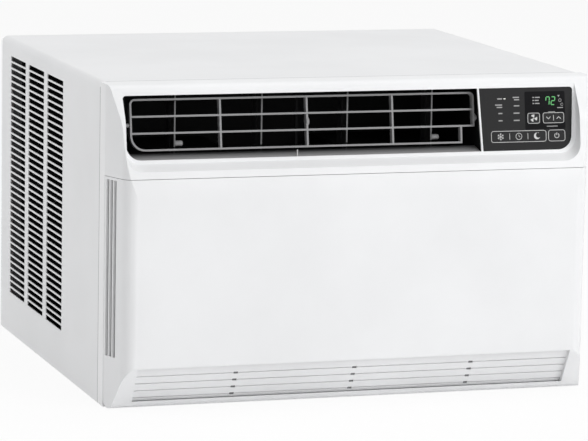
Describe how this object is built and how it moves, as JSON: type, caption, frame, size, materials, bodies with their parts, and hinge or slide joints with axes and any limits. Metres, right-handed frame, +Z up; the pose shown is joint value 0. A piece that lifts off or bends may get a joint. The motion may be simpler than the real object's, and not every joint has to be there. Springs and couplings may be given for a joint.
{
  "type": "window air conditioner",
  "caption": "Boxy window air conditioner with a louvred steel case, tilting front panel, upper air outlet with louver and vanes, and a dark key panel at the upper right.",
  "frame": {"origin": "middle of the footprint, on the sill", "axes": "+X to the right of someone facing the front, -Y out of the front, +Z up"},
  "size_m": [0.6, 0.567, 0.38],
  "materials": {
    "case_paint": "satin powder coat",
    "front_white": "fine moulded texture",
    "louver_grey": "satin grey",
    "outlet_dark": "matt dark",
    "vane_grey": "satin grey",
    "control_charcoal": "satin print film",
    "key_charcoal": "satin print film",
    "galvanised": "zinc spangle",
    "coil_fins": "thin fins",
    "copper": "bare copper tube",
    "foam_white": "moulded foam",
    "fan_plastic": "matt black",
    "shroud_black": "matt black",
    "black_enamel": "black enamel",
    "rubber_black": "matt rubber",
    "steel": "plain steel",
    "board_green": "solder mask",
    "switch_black": "matt black",
    "capacitor_can": "drawn can",
    "filter_plastic": "grey plastic",
    "filter_mesh": "woven net",
    "guard_paint": "satin powder coat"
  },
  "bodies": {
    "unit": {"front_frame": "front_white", "hinge_pins": "steel", "cabinet_wrap": "case_paint", "outlet_housing": "outlet_dark", "control_plate": "control_charcoal", "control_carrier": "fan_plastic", "switch_board": "board_green", "key_switches": "switch_black", "control_box": "galvanised", "main_board": "board_green", "capacitor": "capacitor_can", "base_pan": "galvanised", "drain_plug": "rubber_black", "drain_tray": "foam_white", "bulkhead": "galvanised", "scroll": "outlet_dark", "discharge_duct": "outlet_dark", "fan_motor": "galvanised", "motor_bracket": "galvanised", "bracket_bolts": "steel", "fan_shroud": "shroud_black", "evaporator_fins": "coil_fins", "evaporator_plates": "galvanised", "evaporator_bends": "copper", "condenser_fins": "coil_fins", "condenser_plates": "galvanised", "condenser_bends": "copper", "compressor_shell": "black_enamel", "compressor_base": "black_enamel", "compressor_grommets": "rubber_black", "compressor_bolts": "steel", "accumulator": "black_enamel", "terminal_cover": "switch_black", "suction_pipe": "copper", "discharge_pipe": "copper", "capillary_tube": "copper", "rear_guard": "guard_paint", "guard_screws": "steel", "filter_frame": "filter_plastic", "filter_net": "filter_mesh", "cord_bush": "rubber_black", "room_sensor": "switch_black"},
    "front_panel": {"front_panel": "front_white"},
    "louver": {"louver": "louver_grey"},
    "vane_1": {"vane_1": "vane_grey"},
    "vane_2": {"vane_2": "vane_grey"},
    "vane_3": {"vane_3": "vane_grey"},
    "vane_4": {"vane_4": "vane_grey"},
    "vane_link_left": {"vane_link_left": "vane_grey"},
    "vane_link_right": {"vane_link_right": "vane_grey"},
    "fan_rotor": {"fan_shaft": "steel", "blower_wheel": "fan_plastic", "condenser_fan": "fan_plastic"},
    "key_mode": {"key_mode": "key_charcoal"},
    "key_timer": {"key_timer": "key_charcoal"},
    "key_sleep": {"key_sleep": "key_charcoal"},
    "key_power": {"key_power": "key_charcoal"},
    "key_fan_speed": {"key_fan_speed": "key_charcoal"},
    "key_temp_down": {"key_temp_down": "key_charcoal"},
    "key_temp_up": {"key_temp_up": "key_charcoal"}
  },
  "joints": [
    {"name": "front_panel_tilt", "type": "hinge", "parent": "unit", "child": "front_panel", "pos_m": [0, -0.2491, 0.009], "axis": [1, 0, 0], "range_deg": [0, 35]},
    {"name": "louver_tilt", "type": "hinge", "parent": "unit", "child": "louver", "pos_m": [0, -0.23967, 0.33103], "axis": [1, 0, 0], "range_deg": [-12, 12]},
    {"name": "fan_spin", "type": "hinge", "parent": "unit", "child": "fan_rotor", "pos_m": [-0.04, 0.0435, 0.178], "axis": [0, 1, 0], "continuous": true},
    {"name": "vane_1_swing", "type": "hinge", "parent": "unit", "child": "vane_1", "pos_m": [-0.21081, -0.2015, 0.29265], "axis": [0, 0, 1], "range_deg": [-30, 30]},
    {"name": "vane_2_swing", "type": "hinge", "parent": "unit", "child": "vane_2", "pos_m": [-0.10444, -0.2015, 0.29265], "axis": [0, 0, 1], "range_deg": [-30, 30]},
    {"name": "vane_link_left_pivot", "type": "hinge", "parent": "vane_1", "child": "vane_link_left", "pos_m": [-0.21081, -0.1885, 0.3718], "axis": [0, 0, 1], "range_deg": [-30, 30]},
    {"name": "vane_4_swing", "type": "hinge", "parent": "unit", "child": "vane_4", "pos_m": [0.10831, -0.2015, 0.29265], "axis": [0, 0, 1], "range_deg": [-30, 30]},
    {"name": "vane_3_swing", "type": "hinge", "parent": "unit", "child": "vane_3", "pos_m": [0.00194, -0.2015, 0.29265], "axis": [0, 0, 1], "range_deg": [-30, 30]},
    {"name": "vane_link_right_pivot", "type": "hinge", "parent": "vane_4", "child": "vane_link_right", "pos_m": [0.10831, -0.1885, 0.3718], "axis": [0, 0, 1], "range_deg": [-30, 30]},
    {"name": "key_mode_press", "type": "slide", "parent": "unit", "child": "key_mode", "axis": [0, 0.9877, -0.1564], "range_m": [0, 0.0006], "stiffness_N_per_m": 1500},
    {"name": "key_timer_press", "type": "slide", "parent": "unit", "child": "key_timer", "axis": [0, 0.9877, -0.1564], "range_m": [0, 0.0006], "stiffness_N_per_m": 1500},
    {"name": "key_sleep_press", "type": "slide", "parent": "unit", "child": "key_sleep", "axis": [0, 0.9877, -0.1564], "range_m": [0, 0.0006], "stiffness_N_per_m": 1500},
    {"name": "key_power_press", "type": "slide", "parent": "unit", "child": "key_power", "axis": [0, 0.9877, -0.1564], "range_m": [0, 0.0006], "stiffness_N_per_m": 1500},
    {"name": "key_fan_speed_press", "type": "slide", "parent": "unit", "child": "key_fan_speed", "axis": [0, 0.9877, -0.1564], "range_m": [0, 0.0006], "stiffness_N_per_m": 1500},
    {"name": "key_temp_down_press", "type": "slide", "parent": "unit", "child": "key_temp_down", "axis": [0, 0.9877, -0.1564], "range_m": [0, 0.0006], "stiffness_N_per_m": 1500},
    {"name": "key_temp_up_press", "type": "slide", "parent": "unit", "child": "key_temp_up", "axis": [0, 0.9877, -0.1564], "range_m": [0, 0.0006], "stiffness_N_per_m": 1500}
  ],
  "couplings": [
    {"joint": "vane_2_swing", "follows": "vane_1_swing", "ratio": 1},
    {"joint": "vane_link_left_pivot", "follows": "vane_1_swing", "ratio": -1},
    {"joint": "vane_3_swing", "follows": "vane_4_swing", "ratio": 1},
    {"joint": "vane_link_right_pivot", "follows": "vane_4_swing", "ratio": -1}
  ]
}
